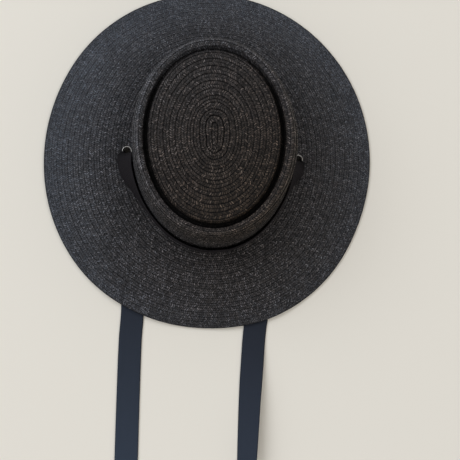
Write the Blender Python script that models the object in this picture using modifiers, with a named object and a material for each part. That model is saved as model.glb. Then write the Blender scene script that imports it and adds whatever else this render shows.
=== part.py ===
"""A straw pork pie hat with ribbon ties, resting brim down, in metres with +Z up.

The origin is the centre of the head opening, in the plane that the brim rests on. +Y points to the far end of
the crown, away from the ties. The crown and the brim are shells of sewn straw braid. Two eyelets are clenched
through the brim beside the crown. One ribbon runs from the left tie's end, up through the left eyelet, round
the near side of the crown, down through the right eyelet and out to the right tie's end.
"""

import math

import bmesh
import bpy
from mathutils import Vector

# Straw
STRAW = 0.002
GAP = 0.0003

# Crown
HEAD_WIDTH = 0.1640
HEAD_LENGTH = 0.2056
CROWN_HEIGHT = 0.0733
CROWN_TAPER = 0.0036
RIDGE_WIDTH = 0.0090
RIDGE_ROUND = 0.0036
SHOULDER_WIDTH = 0.0050
SHOULDER_HEIGHT = 0.0110
CREASE_WIDTH = 0.0054
CREASE_DEPTH = 0.0090
TIP_DROP = 0.0010
TIP_ROUND = 0.0032
TIP_DOME = 0.0025
BUTTON_WIDTH = 0.0060
BUTTON_LENGTH = 0.0220

# Brim
BRIM_WIDTH = 0.3400
BRIM_LENGTH = 0.3580
BRIM_SHIFT_X = -0.0045
BRIM_SHIFT_Y = -0.0020
BRIM_RISE = 0.0122

# The brim's edge lifts over each tie: the gap left over the tie, how far from the tie's middle the lift is
# full and then gone, of RIBBON_WIDTH, and where across the brim it starts and is full
TIE_LIFT = 0.0007
LIFT_FULL = 0.8
LIFT_GONE = 2.3
LIFT_STARTS = 0.5
LIFT_REACHED = 0.8

# Eyelets
EYELET_WIDTH = 0.0106
EYELET_HOLE = 0.0078
EYELET_METAL = 0.0006
LEFT_EYELET_Y = 0.0010
RIGHT_EYELET_Y = -0.0072

# Ribbon
RIBBON_WIDTH = 0.0230
RIBBON_THICKNESS = 0.0010
RIBBON_CLEARANCE = 0.0006
RIBBON_CURL = 190.0
FLATTEST_CURL = 0.5
TIE_END = -0.3180
LEFT_TIE_DRIFT = 0.0065
RIGHT_TIE_DRIFT = 0.0550

# How finely the faceted solids are cut
ROUND_STEPS = 60
EYELET_STEPS = 16
RIBBON_STRIPS = 6
RIBBON_STEP = 0.012
WALL_RINGS = (0.35, 0.70)
SHOULDER_STEPS = 4
TIP_RINGS = (0.80, 0.55, 0.30, 0.0)

# How far the brim's outline reaches in each direction, as a share of a plain oval's reach
BRIM_OUTLINE = (
    # degrees, reach
    (0.0, 0.9964),
    (22.5, 0.9991),
    (45.0, 0.9995),
    (67.5, 0.9985),
    (90.0, 0.9970),
    (112.5, 1.0030),
    (135.0, 1.0021),
    (157.5, 0.9946),
    (180.0, 0.9962),
    (202.5, 1.0036),
    (225.0, 1.0064),
    (247.5, 0.9951),
    (270.0, 0.9901),
    (292.5, 1.0056),
    (315.0, 1.0065),
    (337.5, 0.9948),
)

# The same for the ridge's outside, which was pressed wider on its right and near side
RIDGE_OUTLINE = (
    # degrees, reach
    (0.0, 1.032),
    (22.5, 1.009),
    (45.0, 0.999),
    (67.5, 0.992),
    (90.0, 0.987),
    (112.5, 0.993),
    (135.0, 1.008),
    (157.5, 1.014),
    (180.0, 1.011),
    (202.5, 0.997),
    (225.0, 1.000),
    (247.5, 1.000),
    (270.0, 0.994),
    (292.5, 0.999),
    (315.0, 1.010),
    (337.5, 1.034),
)

# The same for the crease and the tip
CREASE_OUTLINE = (
    # degrees, reach
    (0.0, 0.996),
    (30.0, 0.993),
    (60.0, 0.991),
    (90.0, 0.998),
    (120.0, 1.006),
    (150.0, 1.003),
    (180.0, 0.997),
    (210.0, 1.000),
    (240.0, 1.007),
    (270.0, 1.006),
    (300.0, 0.998),
    (330.0, 0.996),
)

# The brim's underside: how far out a ring lies, of the brim's width there, and its height, of BRIM_RISE
BRIM_SECTION = (
    # out, height
    (0.000, 1.00),
    (0.100, 1.00),
    (0.200, 1.00),
    (0.300, 0.95),
    (0.440, 0.77),
    (0.600, 0.45),
    (0.740, 0.18),
    (0.840, 0.04),
    (0.900, 0.00),
    (0.950, 0.00),
    (1.000, 0.00),
)

# Where each tie lies: how far along it is from its eyelet to TIE_END, how far it has drifted sideways, of its
# side's drift, and how far it is rolled over on its outer edge
LEFT_TIE = (
    # reach, drift, roll in degrees
    (0.00, 0.00, 0.0),
    (0.05, 0.02, 0.0),
    (0.14, 0.25, 0.0),
    (0.24, 0.55, 0.0),
    (0.36, 0.85, 0.0),
    (0.50, 1.00, 0.0),
    (0.60, 0.70, 0.0),
    (0.78, 0.46, 0.0),
    (1.00, 0.25, 0.0),
)
RIGHT_TIE = (
    # reach, drift, roll in degrees
    (0.00, 0.00, 0.0),
    (0.05, 0.02, 0.0),
    (0.14, 0.14, 0.0),
    (0.24, 0.32, 0.0),
    (0.38, 0.58, 0.0),
    (0.56, 0.82, 0.0),
    (0.68, 0.88, 8.0),
    (0.79, 0.93, 22.0),
    (1.00, 1.00, 38.0),
)
LYING_STARTS = 0.24

# How the ribbon comes up through an eyelet. Across and along are shares of RIBBON_WIDTH from the tie's line
# or the eyelet's axis, away from the crown and towards the far end. Height is a share of BRIM_RISE under the
# brim and of RIBBON_WIDTH over it. Turn is 0 where the ribbon climbs and 90 where it lies. Lean is how far it
# has tipped up against the crown. Curl is how far it is curled across, of RIBBON_CURL, and gather is 1
# where the eyelet squeezes it.
UNDER_EYELET = (
    # across, along, height, turn, lean, curl, gather
    (0.00, -2.300, 0.120, -90.0, 0.0, 0.13, 0.08),
    (0.00, -1.200, 0.240, -90.0, 0.0, 0.42, 0.30),
    (0.00, -0.550, 0.360, -85.0, 0.0, 0.74, 0.65),
    (0.00, -0.270, 0.500, -62.0, 0.0, 0.92, 0.95),
    (0.00, -0.100, 0.720, -30.0, 0.0, 1.00, 1.00),
    (0.00, -0.067, 0.950, 0.0, 0.0, 1.00, 1.00),
)
OVER_LEFT = (
    # across, along, height, turn, lean, curl, gather
    (0.00, -0.067, 0.020, 0.0, 0.0, 1.00, 1.00),
    (0.00, -0.070, 0.090, 10.0, 3.0, 0.88, 0.97),
    (0.065, -0.105, 0.175, 35.0, 11.0, 0.42, 0.80),
    (0.105, -0.190, 0.250, 58.0, 22.0, 0.08, 0.55),
    (0.095, -0.310, 0.325, 72.0, 34.0, 0.02, 0.28),
    (0.09, -0.450, 0.400, 82.0, 46.0, 0.00, 0.05),
)
OVER_RIGHT = (
    # across, along, height, turn, lean, curl, gather
    (0.00, -0.067, 0.020, 0.0, 0.0, 1.00, 1.00),
    (0.00, -0.072, 0.110, 12.0, 10.0, 0.85, 0.96),
    (0.025, -0.110, 0.220, 35.0, 30.0, 0.42, 0.78),
    (0.025, -0.190, 0.320, 58.0, 45.0, 0.10, 0.52),
    (0.00, -0.330, 0.400, 74.0, 56.0, 0.03, 0.20),
    (-0.025, -0.550, 0.460, 86.0, 60.0, 0.00, 0.00),
)

# How the ribbon stands round the near side of the crown. Round is the share of the way from the left end of
# the run to the right one. Foot is how far its lower edge stands out past its upper edge, of RIBBON_WIDTH.
RIBBON_ROUND = (
    # round, foot
    (0.00, 0.60),
    (0.04, 0.49),
    (0.08, 0.31),
    (0.125, 0.19),
    (0.17, 0.07),
    (0.21, 0.02),
    (0.25, 0.00),
    (0.30, -0.02),
    (0.36, -0.035),
    (0.43, -0.045),
    (0.50, -0.05),
    (0.57, -0.05),
    (0.64, -0.045),
    (0.70, -0.035),
    (0.76, -0.02),
    (0.80, 0.00),
    (0.84, 0.02),
    (0.90, 0.07),
    (0.95, 0.19),
    (1.00, 0.40),
)
RIBBON_ROUND_STARTS = 0.75

BRIM_TOP = BRIM_RISE + STRAW
HALF_WIDTH = HEAD_WIDTH / 2
HALF_LENGTH = HEAD_LENGTH / 2
EYELET_X = HALF_WIDTH + GAP + EYELET_WIDTH / 2


def along_rows(rows, column, key):
    """The value of a table's column at a key, smooth through the rows and never past them. Column 0 rises."""
    if key <= rows[0][0]:
        return rows[0][column]
    if key >= rows[-1][0]:
        return rows[-1][column]
    here = max(i for i in range(len(rows) - 1) if rows[i][0] <= key)
    width = rows[here + 1][0] - rows[here][0]
    share = (key - rows[here][0]) / width
    low, high = rows[here][column], rows[here + 1][column]
    start = row_slope(rows, column, here) * width
    end = row_slope(rows, column, here + 1) * width
    return (
        low * (1 + 2 * share) * (1 - share) ** 2
        + start * share * (1 - share) ** 2
        + high * share**2 * (3 - 2 * share)
        + end * share**2 * (share - 1)
    )


def row_slope(rows, column, i):
    """How fast the column changes at a row: level at each peak, dip and end, so nothing overshoots."""
    if i == 0 or i == len(rows) - 1:
        return 0.0
    before = (rows[i][column] - rows[i - 1][column]) / (rows[i][0] - rows[i - 1][0])
    after = (rows[i + 1][column] - rows[i][column]) / (rows[i + 1][0] - rows[i][0])
    if before * after <= 0:
        return 0.0
    return 2 * before * after / (before + after)


def reach_at(outline, degrees):
    """How far a round outline reaches at an angle, smooth through its evenly spaced rows."""
    step = 360 / len(outline)
    place = (degrees % 360) / step
    i = int(place)
    share = place - i
    back, low, high, ahead = (outline[(i + k) % len(outline)][1] for k in (-1, 0, 1, 2))
    bend = 2 * back - 5 * low + 4 * high - ahead
    twist = 3 * (low - high) + ahead - back
    return low + 0.5 * share * (high - back + share * (bend + share * twist))


def oval(half_width, half_length, degrees):
    """A point of an oval round the origin."""
    angle = math.radians(degrees)
    return Vector((half_width * math.cos(angle), half_length * math.sin(angle), 0.0))


def loft(name, rings, close_centre):
    """An open surface through rings of points, each starting at +X and running anticlockwise."""
    mesh = bpy.data.meshes.new(name)
    build = bmesh.new()
    rows = [[build.verts.new(point) for point in ring] for ring in rings]
    for low, high in zip(rows, rows[1:]):
        for i in range(len(low)):
            j = (i + 1) % len(low)
            build.faces.new((low[i], low[j], high[j], high[i]))
    if close_centre:
        last = rows[-1]
        middle = build.verts.new(sum((v.co for v in last), Vector()) / len(last))
        for i in range(len(last)):
            build.faces.new((last[i], last[(i + 1) % len(last)], middle))
    build.to_mesh(mesh)
    build.free()
    return mesh


def add_object(name, mesh, collection, material):
    """An object of a mesh, shaded smooth, in its collection and with its material."""
    thing = bpy.data.objects.new(name, mesh)
    collection.objects.link(thing)
    mesh.materials.append(material)
    mesh.shade_smooth()
    return thing


def add_shell(thing, grows):
    """Gives an open surface the straw's thickness, to its outside where grows is 1 and its inside at -1."""
    shell = thing.modifiers.new("straw", "SOLIDIFY")
    shell.thickness = STRAW
    shell.offset = grows
    shell.use_even_offset = True


def make_material(name, colour, roughness, metallic):
    """A plain finish for one kind of piece."""
    material = bpy.data.materials.new(name)
    material.use_nodes = True
    shader = material.node_tree.nodes["Principled BSDF"]
    shader.inputs["Base Color"].default_value = (*colour, 1.0)
    shader.inputs["Roughness"].default_value = roughness
    shader.inputs["Metallic"].default_value = metallic
    return material


def arc(centre, radius, first, last, steps):
    """Points of an arc in the crown's section, as (inset, height), from one angle in degrees to another."""
    points = []
    for i in range(steps + 1):
        angle = math.radians(first + (last - first) * i / steps)
        points.append((centre[0] - radius * math.cos(angle), centre[1] + radius * math.sin(angle)))
    return points


def crown_section():
    """The crown's outside from its foot to the tip's edge: inset, height over the brim's top, and how far the
    ring there follows the ridge's outline and the crease's.
    """
    wall = CROWN_HEIGHT - SHOULDER_HEIGHT
    full = CROWN_HEIGHT - RIDGE_ROUND
    ridge_end = CROWN_TAPER + RIDGE_WIDTH
    half_crease = CREASE_WIDTH / 2
    tip_start = ridge_end + CREASE_WIDTH
    tip_height = CROWN_HEIGHT - TIP_DROP
    section = [(0.0, GAP, 0.0, 0.0), (0.0, GAP + STRAW, 0.0, 0.0)]
    for share in WALL_RINGS:
        section.append((CROWN_TAPER * share, wall * share, (wall * share / full) ** 2, 0.0))
    outside = []
    for i in range(SHOULDER_STEPS + 1):
        angle = math.radians(90 * i / SHOULDER_STEPS)
        over = 1 - math.cos(angle)
        height = wall + SHOULDER_HEIGHT * math.sin(angle)
        ridge = min(1.0, height / full) ** 2 * (1 - over)
        outside.append((CROWN_TAPER + SHOULDER_WIDTH * over, height, ridge, over))
    inside = arc((ridge_end - RIDGE_ROUND, full), RIDGE_ROUND, 90, 180, 3)
    crease_floor = CROWN_HEIGHT - CREASE_DEPTH + half_crease
    inside += arc((ridge_end + half_crease, crease_floor), half_crease, 0, -180, 4)
    inside += arc((tip_start + TIP_ROUND, tip_height - TIP_ROUND), TIP_ROUND, 0, 90, 3)
    section += outside
    section += [(inset, height, 0.0, 1.0) for inset, height in inside]
    return section


def crown_ring(half_width, half_length, height, ridge, crease):
    """One ring of the crown. Ridge and crease are how far it follows each outline, from 0 to 1."""
    ring = []
    for i in range(ROUND_STEPS):
        degrees = 360 * i / ROUND_STEPS
        reach = 1 + ridge * (reach_at(RIDGE_OUTLINE, degrees) - 1)
        reach += crease * (reach_at(CREASE_OUTLINE, degrees) - 1)
        point = oval(half_width, half_length, degrees) * reach
        point.z = BRIM_TOP + height
        ring.append(point)
    return ring


def make_crown(collection, straw):
    """The crown: a hollow shell with its ridge, crease and tip, open at the head."""
    section = crown_section()
    rings = []
    for inset, height, ridge, crease in section:
        rings.append(crown_ring(HALF_WIDTH - inset, HALF_LENGTH - inset, height, ridge, crease))
    inset, edge_height = section[-1][:2]
    for share in TIP_RINGS:
        half_width = BUTTON_WIDTH / 2 + (HALF_WIDTH - inset - BUTTON_WIDTH / 2) * share
        half_length = BUTTON_LENGTH / 2 + (HALF_LENGTH - inset - BUTTON_LENGTH / 2) * share
        height = edge_height + TIP_DOME * (1 - share**2)
        rings.append(crown_ring(half_width, half_length, height, 0.0, share))
    crown = add_object("crown", loft("crown", rings, True), collection, straw)
    add_shell(crown, -1)
    return crown


def tie_drift(side, y):
    """How far a tie lies in X where it passes a given Y. Side is -1 on the left and 1 on the right."""
    table, drift = (LEFT_TIE, LEFT_TIE_DRIFT) if side < 0 else (RIGHT_TIE, RIGHT_TIE_DRIFT)
    start = eyelet_centre(side).y
    reach = (start - y) / (start - TIE_END)
    return side * (EYELET_X - drift * along_rows(table, 1, reach))


def eyelet_centre(side):
    """The middle of an eyelet, at the brim's top. Side is -1 on the left and 1 on the right."""
    return Vector((side * EYELET_X, LEFT_EYELET_Y if side < 0 else RIGHT_EYELET_Y, BRIM_TOP))


def smooth_step(value):
    """From 0 to 1, level at both ends."""
    value = max(0.0, min(1.0, value))
    return value * value * (3 - 2 * value)


def tie_lift(point, out):
    """How far the brim's edge is lifted at a point by the ties that pass under it."""
    if point.y > 0:
        return 0.0
    full = RIBBON_THICKNESS + TIE_LIFT
    nearest = min(abs(point.x - tie_drift(side, point.y)) for side in (-1, 1)) / RIBBON_WIDTH
    beside = smooth_step((nearest - LIFT_FULL) / (LIFT_GONE - LIFT_FULL))
    return full * (1 - beside) * smooth_step((out - LIFT_STARTS) / (LIFT_REACHED - LIFT_STARTS))


def brim_ring(out, height):
    """One ring of the brim's underside. Out is 0 at the crown's foot and 1 at the brim's edge."""
    ring = []
    for i in range(ROUND_STEPS):
        degrees = 360 * i / ROUND_STEPS
        foot = oval(HALF_WIDTH, HALF_LENGTH, degrees)
        edge = oval(BRIM_WIDTH / 2, BRIM_LENGTH / 2, degrees) * reach_at(BRIM_OUTLINE, degrees)
        edge += Vector((BRIM_SHIFT_X, BRIM_SHIFT_Y, 0.0))
        point = foot.lerp(edge, out)
        point.z = BRIM_RISE * height + tie_lift(point, out)
        ring.append(point)
    return ring


def make_brim(collection, cutters, straw):
    """The brim: a shell from the head opening to its flat outer row, with a hole for each eyelet."""
    rings = []
    opening = []
    for i in range(ROUND_STEPS):
        point = oval(HALF_WIDTH - STRAW, HALF_LENGTH - STRAW, 360 * i / ROUND_STEPS)
        point.z = BRIM_RISE
        opening.append(point)
    rings.append(opening)
    for out, height in BRIM_SECTION:
        rings.append(brim_ring(out, height))
    mesh = loft("brim", rings, False)
    mesh.flip_normals()
    brim = add_object("brim", mesh, collection, straw)
    add_shell(brim, 1)
    for side, word in ((-1, "left"), (1, "right")):
        cutter = make_cutter(f"hole_{word}", eyelet_centre(side), cutters)
        hole = brim.modifiers.new(f"hole_{word}", "BOOLEAN")
        hole.operation = "DIFFERENCE"
        hole.object = cutter
    return brim


def make_cutter(name, centre, cutters):
    """A plug that cuts an eyelet's hole through the brim."""
    mesh = bpy.data.meshes.new(name)
    build = bmesh.new()
    radius = EYELET_HOLE / 2 + EYELET_METAL + GAP
    bmesh.ops.create_cone(
        build,
        cap_ends=True,
        segments=EYELET_STEPS,
        radius1=radius,
        radius2=radius,
        depth=STRAW * 4,
    )
    build.to_mesh(mesh)
    build.free()
    cutter = bpy.data.objects.new(name, mesh)
    cutter.location = centre - Vector((0.0, 0.0, STRAW / 2))
    cutter.hide_render = True
    cutter.display_type = "WIRE"
    cutters.objects.link(cutter)
    return cutter


def make_eyelet(word, side, collection, metal):
    """An eyelet: a barrel through the brim with a rolled flange over it and another under it."""
    hole = EYELET_HOLE / 2
    edge = EYELET_WIDTH / 2
    barrel = hole + EYELET_METAL
    top = GAP + EYELET_METAL
    bottom = -STRAW - GAP - EYELET_METAL
    bevel = EYELET_METAL / 2
    outline = [
        (hole + bevel, top),
        (edge - bevel, top),
        (edge, top - bevel),
        (edge, GAP),
        (barrel, GAP),
        (barrel, -STRAW - GAP),
        (edge, -STRAW - GAP),
        (edge, bottom + bevel),
        (edge - bevel, bottom),
        (hole + bevel, bottom),
        (hole, bottom + bevel),
        (hole, top - bevel),
    ]
    mesh = bpy.data.meshes.new(f"eyelet_{word}")
    edges = [(i, (i + 1) % len(outline)) for i in range(len(outline))]
    mesh.from_pydata([(radius, 0.0, height) for radius, height in outline], edges, [])
    eyelet = add_object(f"eyelet_{word}", mesh, collection, metal)
    eyelet.location = eyelet_centre(side)
    turn = eyelet.modifiers.new("turn", "SCREW")
    turn.angle = math.tau
    turn.steps = EYELET_STEPS
    turn.render_steps = EYELET_STEPS
    turn.use_merge_vertices = True
    turn.merge_threshold = 0.0001
    turn.use_smooth_shade = True
    return eyelet


def eyelet_rows(side, table, level, height_unit):
    """Stations of the ribbon near an eyelet: centre, facing direction, curl and gather."""
    stations = []
    centre = eyelet_centre(side)
    for across, along, height, turn, lean, curl, gather in table:
        y = centre.y + along * RIBBON_WIDTH
        x = centre.x if level else tie_drift(side, y)
        place = Vector((x + side * across * RIBBON_WIDTH, y, level + height * height_unit))
        angle = math.radians(turn)
        tip = math.radians(lean)
        upright = Vector((0.0, math.cos(angle), math.sin(angle)))
        facing = upright * math.cos(tip) + Vector((side * math.sin(tip), 0.0, 0.0))
        stations.append((place, facing, curl, gather))
    return stations


def tie_rows(side):
    """Stations of a tie where it lies on the surface, from the brim outwards."""
    table = LEFT_TIE if side < 0 else RIGHT_TIE
    stations = []
    for reach, drift, roll in table:
        if reach < LYING_STARTS:
            continue
        start = eyelet_centre(side).y
        y = start + reach * (TIE_END - start)
        tip = math.radians(roll)
        height = RIBBON_THICKNESS / 2 * math.cos(tip) + RIBBON_WIDTH / 2 * math.sin(tip)
        facing = Vector((side * math.sin(tip), 0.0, -math.cos(tip)))
        stations.append((Vector((tie_drift(side, y), y, height)), facing, 0.0, 0.0))
    return stations


def round_rows():
    """Stations of the ribbon round the near side of the crown, from left to right."""
    ends = []
    for side in (-1, 1):
        y = eyelet_centre(side).y - RIBBON_ROUND_STARTS * RIBBON_WIDTH
        ends.append(270 + side * math.degrees(math.acos(-y / HALF_LENGTH)))
    stations = []
    for share, foot in RIBBON_ROUND:
        degrees = ends[0] + (ends[1] - ends[0]) * share
        rise = math.sqrt(1 - foot**2)
        height = RIBBON_CLEARANCE + (RIBBON_WIDTH * rise + RIBBON_THICKNESS * abs(foot)) / 2
        wall = oval(HALF_WIDTH, HALF_LENGTH, degrees)
        outward = Vector((wall.x / HALF_WIDTH**2, wall.y / HALF_LENGTH**2, 0.0)).normalized()
        away = RIBBON_CLEARANCE + (RIBBON_WIDTH * abs(foot) + RIBBON_THICKNESS * rise) / 2
        place = wall + outward * away
        place.z = BRIM_TOP + height
        stations.append((place, outward * rise + Vector((0.0, 0.0, foot)), 0.0, 0.0))
    return stations


def ribbon_stations():
    """All of the ribbon's stations, from the left tie's end to the right tie's end."""
    sides = []
    for side in (-1, 1):
        under = eyelet_rows(side, UNDER_EYELET, 0.0, BRIM_RISE)
        table = OVER_LEFT if side < 0 else OVER_RIGHT
        over = eyelet_rows(side, table, BRIM_TOP, RIBBON_WIDTH)
        sides.append(tie_rows(side)[::-1] + under + over)
    return sides[0] + round_rows() + sides[1][::-1]


def ribbon_section(place, facing, forward, curl, gather):
    """The ring of points round the ribbon at one place, the side that faces out first."""
    across = facing.cross(forward).normalized()
    facing = forward.cross(across).normalized()
    squeezed = (EYELET_HOLE / 2 - RIBBON_CLEARANCE - RIBBON_THICKNESS / 2) * math.radians(RIBBON_CURL)
    width = RIBBON_WIDTH + (squeezed - RIBBON_WIDTH) * gather
    angle = math.radians(max(RIBBON_CURL * curl, FLATTEST_CURL))
    radius = width / angle
    middle = radius * (1 + math.cos(angle / 2)) / 2
    faces = ([], [])
    for i in range(RIBBON_STRIPS + 1):
        part = angle * (i / RIBBON_STRIPS - 0.5)
        for points, side in zip(faces, (-1, 1)):
            size = radius + side * RIBBON_THICKNESS / 2
            sideways = across * (size * math.sin(part))
            points.append(place + sideways + facing * (middle - size * math.cos(part)))
    return faces[0] + faces[1][::-1]


def ribbon_rings():
    """All of the ribbon's rings, smooth through its stations."""
    stations = ribbon_stations()
    run = [0.0]
    for before, after in zip(stations, stations[1:]):
        run.append(run[-1] + (after[0] - before[0]).length)
    rows = [
        (length, *place, *facing, curl, gather)
        for length, (place, facing, curl, gather) in zip(run, stations)
    ]
    marks = []
    for before, after in zip(run, run[1:]):
        steps = max(1, round((after - before) / RIBBON_STEP))
        marks += [before + (after - before) * i / steps for i in range(steps)]
    marks.append(run[-1])
    places = [Vector(along_rows(rows, column, mark) for column in (1, 2, 3)) for mark in marks]
    rings = []
    for i, mark in enumerate(marks):
        forward = places[min(i + 1, len(places) - 1)] - places[max(i - 1, 0)]
        facing = Vector(along_rows(rows, column, mark) for column in (4, 5, 6))
        curl, gather = (along_rows(rows, column, mark) for column in (7, 8))
        rings.append(ribbon_section(places[i], facing, forward.normalized(), curl, gather))
    return rings


def make_ribbon(collection, cloth):
    """The ribbon: one closed strip, narrow and curled where an eyelet squeezes it."""
    rings = ribbon_rings()
    mesh = loft("ribbon", rings, False)
    build = bmesh.new()
    build.from_mesh(mesh)
    bmesh.ops.holes_fill(build, edges=build.edges)
    bmesh.ops.recalc_face_normals(build, faces=build.faces)
    build.to_mesh(mesh)
    build.free()
    return add_object("ribbon", mesh, collection, cloth)


def main():
    """Clears the scene and makes the hat."""
    for thing in list(bpy.data.objects):
        bpy.data.objects.remove(thing)
    hat = bpy.data.collections.new("straw_hat")
    cutters = bpy.data.collections.new("cutters")
    bpy.context.scene.collection.children.link(hat)
    bpy.context.scene.collection.children.link(cutters)
    cutters.hide_render = True
    straw = make_material("black_straw", (0.035, 0.034, 0.036), 0.6, 0.0)
    metal = make_material("dark_nickel", (0.30, 0.29, 0.27), 0.3, 1.0)
    cloth = make_material("navy_ribbon", (0.028, 0.034, 0.048), 0.75, 0.0)
    make_crown(hat, straw)
    make_brim(hat, cutters, straw)
    make_eyelet("left", -1, hat, metal)
    make_eyelet("right", 1, hat, metal)
    make_ribbon(hat, cloth)


main()
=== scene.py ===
"""The straw pork pie hat dressed for its picture: sewn braid, metal eyelets and woven ribbon ties.

Every size is in metres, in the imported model's frame: the origin is the centre of the head opening, in the
plane that the brim rests on, with +Z up and +Y to the far end of the crown.
"""

import logging
import math
from dataclasses import dataclass, field
from enum import Enum
from typing import Any, Callable, Optional, Sequence, Union

import bmesh
import bpy
import numpy as np
from mathutils import Matrix, Vector


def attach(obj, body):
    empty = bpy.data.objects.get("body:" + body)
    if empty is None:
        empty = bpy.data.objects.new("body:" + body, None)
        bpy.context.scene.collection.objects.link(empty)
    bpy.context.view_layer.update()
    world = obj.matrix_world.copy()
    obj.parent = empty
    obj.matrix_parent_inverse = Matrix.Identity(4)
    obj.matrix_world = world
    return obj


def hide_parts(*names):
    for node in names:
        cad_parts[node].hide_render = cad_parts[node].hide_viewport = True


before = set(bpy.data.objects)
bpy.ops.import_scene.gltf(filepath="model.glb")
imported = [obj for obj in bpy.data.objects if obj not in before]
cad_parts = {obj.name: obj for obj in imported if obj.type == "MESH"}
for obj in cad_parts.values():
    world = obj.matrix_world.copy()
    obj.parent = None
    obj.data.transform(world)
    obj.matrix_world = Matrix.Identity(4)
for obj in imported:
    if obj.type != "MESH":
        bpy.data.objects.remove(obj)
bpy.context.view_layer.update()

log = logging.getLogger("straw_hat")

Rows = Sequence[Sequence[float]]
Colour = tuple[float, float, float]
Place = tuple[float, float, float]
Pair = tuple[float, float]

MM = 0.001


class Side(Enum):
    """Which side of the hat a piece is on, seen from above with the ties towards the viewer."""

    LEFT = -1
    RIGHT = 1

    @property
    def word(self) -> str:
        """The side's name in lower case."""
        return self.name.lower()

    def pick(self, pair: Sequence[Any]) -> Any:
        """This side's one of a pair, in which the left one comes first."""
        return pair[int(self is Side.RIGHT)]


class Slot(Enum):
    """The record's material slots."""

    STRAW = "straw"
    METAL = "eyelet_metal"
    CLOTH = "ribbon_cloth"


class Face(Enum):
    """Which face of the straw a ring of points lies on."""

    OUTSIDE = 1
    INSIDE = -1


def along_rows(rows: Rows, column: int, key: float) -> float:
    """Reads a table's column at a key, smooth through the rows and never past them.

    Args:
        rows: The table. Its column 0 rises.
        column: The column that is read.
        key: The place in column 0.

    Returns:
        The column's value there.
    """
    if key <= rows[0][0]:
        return rows[0][column]
    if key >= rows[-1][0]:
        return rows[-1][column]
    here = max(i for i in range(len(rows) - 1) if rows[i][0] <= key)
    width = rows[here + 1][0] - rows[here][0]
    share = (key - rows[here][0]) / width
    low, high = rows[here][column], rows[here + 1][column]
    start, end = (row_slope(rows, column, i) * width for i in (here, here + 1))
    return (
        low * (1 + 2 * share) * (1 - share) ** 2
        + start * share * (1 - share) ** 2
        + high * share**2 * (3 - 2 * share)
        + end * share**2 * (share - 1)
    )


def row_slope(rows: Rows, column: int, i: int) -> float:
    """Gives how fast a table's column changes at one of its rows.

    Args:
        rows: The table.
        column: The column that is read.
        i: The row's number.

    Returns:
        The slope, which is level at each peak, dip and end, so that nothing overshoots.
    """
    if i in (0, len(rows) - 1):
        return 0.0
    before, after = (
        (rows[j + 1][column] - rows[j][column]) / (rows[j + 1][0] - rows[j][0]) for j in (i - 1, i)
    )
    return 2 * before * after / (before + after) if before * after > 0 else 0.0


def reach_at(outline: Sequence[float], turns: np.ndarray) -> np.ndarray:
    """Reads how far a round outline reaches, smooth through its evenly spaced values.

    Args:
        outline: The reach in each of a number of directions, evenly spaced from +X.
        turns: Directions as shares of a full turn.

    Returns:
        The reach in each direction.
    """
    values = np.asarray(outline)
    place = (turns % 1.0) * len(values)
    first = np.floor(place).astype(int)
    share = place - first
    back, low, high, ahead = (values[(first + k) % len(values)] for k in (-1, 0, 1, 2))
    bend = 2 * back - 5 * low + 4 * high - ahead
    twist = 3 * (low - high) + ahead - back
    return low + 0.5 * share * (high - back + share * (bend + share * twist))


def smooth_step(value: Union[np.ndarray, float], low: float, high: float) -> np.ndarray:
    """Goes from 0 to 1 as the value goes from low to high, level at both ends."""
    share = np.clip((value - low) / (high - low), 0.0, 1.0)
    return share * share * (3 - 2 * share)


def in_scene(name: str, data: bpy.types.ID) -> bpy.types.Object:
    """Makes an object of a mesh, a light or a camera, and links it to the scene."""
    thing = bpy.data.objects.new(name, data)
    bpy.context.scene.collection.objects.link(thing)
    return thing


def from_build(name: str, build: bmesh.types.BMesh, smooth: bool = True) -> bpy.types.Object:
    """Makes an object from a mesh that is being built, which is then freed.

    Args:
        name: The object's name, and its mesh's.
        build: The mesh that is being built.
        smooth: Whether its faces are shaded smooth.

    Returns:
        The object, in the scene.
    """
    mesh = bpy.data.meshes.new(name)
    build.to_mesh(mesh)
    build.free()
    if smooth:
        mesh.shade_smooth()
    return in_scene(name, mesh)


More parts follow.
